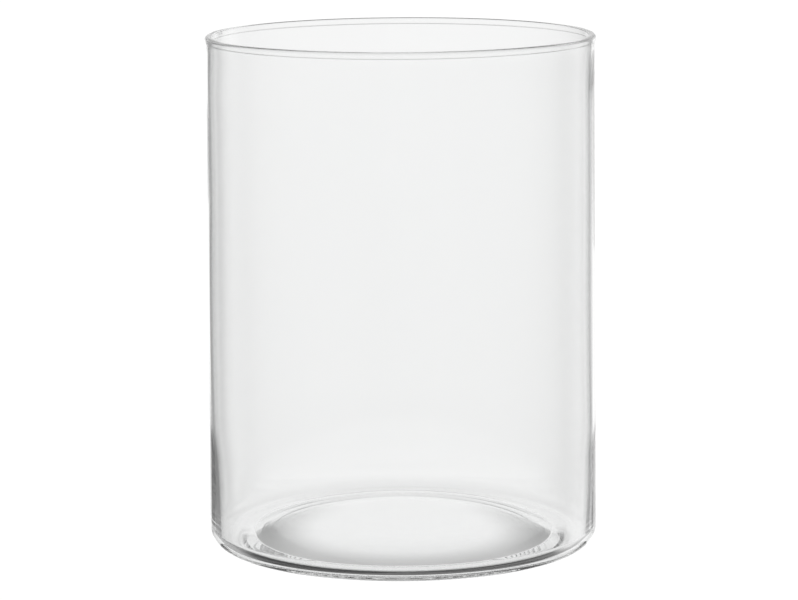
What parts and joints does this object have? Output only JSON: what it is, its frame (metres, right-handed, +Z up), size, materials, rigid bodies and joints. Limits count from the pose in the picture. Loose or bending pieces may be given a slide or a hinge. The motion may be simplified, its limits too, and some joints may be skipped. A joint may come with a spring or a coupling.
{
  "type": "glass cylinder vase",
  "caption": "Clear glass cylinder vase with a rounded lip, a thick rounded heel and a pushed-up floor inside a foot ring.",
  "frame": {"origin": "centre of the foot, on the surface that the vase stands on", "axes": "+Z up along the vase's axis, out of the mouth; the vase is round, so +X and +Y are any two level directions at right angles"},
  "size_m": [0.19, 0.19, 0.25],
  "materials": {
    "clear_glass": "clear polished soda-lime glass"
  },
  "bodies": {
    "root": {"glass_vessel": "clear_glass"}
  },
  "joints": []
}
